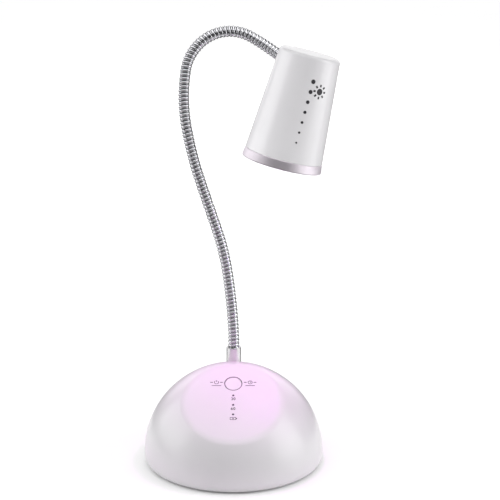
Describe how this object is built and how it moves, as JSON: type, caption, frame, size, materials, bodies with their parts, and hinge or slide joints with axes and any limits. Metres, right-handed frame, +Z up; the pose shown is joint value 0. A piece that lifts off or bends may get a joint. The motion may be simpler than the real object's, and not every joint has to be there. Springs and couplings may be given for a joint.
{
  "type": "uv curing lamp",
  "caption": "Desk UV curing lamp: weighted white dome base with a sloping control face, chrome coil gooseneck and a tapered head with a metal mouth ring.",
  "frame": {"origin": "centre of the underside of the foot pad, on the surface the lamp stands on", "axes": "+Z up; -Y the front, the side of the control face; +X the side the head hangs over"},
  "size_m": [0.1173, 0.11, 0.2643],
  "materials": {
    "white_shell": "soft gloss white moulding",
    "grey_plastic": "fine moulded texture",
    "black_plastic": "matte",
    "pad_rubber": "fine pebbled",
    "plain_steel": "zinc plated",
    "collar_metal": "satin turned",
    "neck_chrome": "bright plated round wire coil",
    "ring_metal": "satin turned",
    "sink_aluminium": "extruded",
    "lens_clear": "clear",
    "reflector_silver": "metallised",
    "board_green": "solder mask",
    "board_white": "white solder mask",
    "uv_emitter": "clear domes over violet chips",
    "indicator_body": "surface mount LED",
    "indicator_window": "smoked light pipe",
    "cell_wrap": "shrink sleeve",
    "lead_jacket": "soft jacket"
  },
  "bodies": {
    "base": {"base_shell": "white_shell", "base_plate": "grey_plastic", "anti_slip_pad": "pad_rubber", "ballast_plate": "plain_steel", "base_screws": "plain_steel", "ballast_screws": "plain_steel", "control_board": "board_green", "board_screws": "plain_steel", "control_chips": "black_plastic", "switch_housing": "black_plastic", "indicator_lens_1": "indicator_window", "indicator_lens_2": "indicator_window", "indicator_lens_3": "indicator_window", "indicator_led_1": "indicator_body", "indicator_led_2": "indicator_body", "indicator_led_3": "indicator_body", "battery_tray": "grey_plastic", "battery_cell": "cell_wrap", "battery_lead": "lead_jacket", "socket_shell": "plain_steel", "socket_tongue": "black_plastic", "charge_board": "board_green", "charge_board_screws": "plain_steel", "charge_lead": "lead_jacket", "neck_collar": "collar_metal", "neck_washer": "plain_steel", "neck_nut": "plain_steel", "neck_root": "neck_chrome", "base_lead": "lead_jacket"},
    "button": {"button_cap": "white_shell", "switch_plunger": "black_plastic"},
    "neck_1": {"neck_segment_1": "neck_chrome", "neck_lead_1": "lead_jacket"},
    "neck_2": {"neck_segment_2": "neck_chrome", "neck_lead_2": "lead_jacket"},
    "neck_3": {"neck_segment_3": "neck_chrome", "neck_lead_3": "lead_jacket"},
    "neck_4": {"neck_segment_4": "neck_chrome", "neck_lead_4": "lead_jacket"},
    "neck_5": {"neck_segment_5": "neck_chrome", "neck_lead_5": "lead_jacket"},
    "neck_6": {"neck_segment_6": "neck_chrome", "neck_lead_6": "lead_jacket"},
    "neck_7": {"neck_segment_7": "neck_chrome", "neck_lead_7": "lead_jacket"},
    "head": {"neck_tip": "neck_chrome", "head_lead": "lead_jacket", "head_shell": "white_shell", "bezel_ring": "ring_metal", "lens": "lens_clear", "lens_gasket": "pad_rubber", "reflector": "reflector_silver", "led_board": "board_white", "led_board_screws": "plain_steel", "uv_leds": "uv_emitter", "heat_sink": "sink_aluminium", "heat_sink_screws": "plain_steel", "clamp_collar": "sink_aluminium", "clamp_grub_screw": "plain_steel"}
  },
  "joints": [
    {"name": "button_press", "type": "slide", "parent": "base", "child": "button", "axis": [0, 0.4848, -0.8746], "range_m": [0, 0.0005], "stiffness_N_per_m": 2000, "springref_m": -0.0001},
    {"name": "neck_bend_1", "type": "hinge", "parent": "base", "child": "neck_1", "pos_m": [-0.00063, 0.02502, 0.08299], "axis": [0, 1, -0.0017], "range_deg": [-30, 30]},
    {"name": "neck_bend_2", "type": "hinge", "parent": "neck_1", "child": "neck_2", "pos_m": [-0.00376, 0.02497, 0.11281], "axis": [-0.9877, 0.0001, -0.1564], "range_deg": [-30, 30]},
    {"name": "neck_bend_3", "type": "hinge", "parent": "neck_2", "child": "neck_3", "pos_m": [-0.01063, 0.02502, 0.14199], "axis": [0.0025, 1, -0.0084], "range_deg": [-30, 30]},
    {"name": "neck_bend_4", "type": "hinge", "parent": "neck_3", "child": "neck_4", "pos_m": [-0.01995, 0.02523, 0.1705], "axis": [-0.9472, -0.0003, -0.3206], "range_deg": [-30, 30]},
    {"name": "neck_bend_5", "type": "hinge", "parent": "neck_4", "child": "neck_5", "pos_m": [-0.02806, 0.02698, 0.20352], "axis": [0.0234, 0.9952, -0.0946], "range_deg": [-30, 30]},
    {"name": "neck_bend_6", "type": "hinge", "parent": "neck_5", "child": "neck_6", "pos_m": [-0.02825, 0.03044, 0.23762], "axis": [-0.9895, 0.0383, 0.1391], "range_deg": [-30, 30]},
    {"name": "neck_bend_7", "type": "hinge", "parent": "neck_6", "child": "neck_7", "pos_m": [-0.014, 0.03165, 0.25769], "axis": [0.0517, 0.9964, -0.0671], "range_deg": [-30, 12]},
    {"name": "neck_bend_8", "type": "hinge", "parent": "neck_7", "child": "head", "pos_m": [0.01112, 0.02895, 0.25772], "axis": [0.466, -0.0164, 0.8846], "range_deg": [-30, 30]}
  ]
}
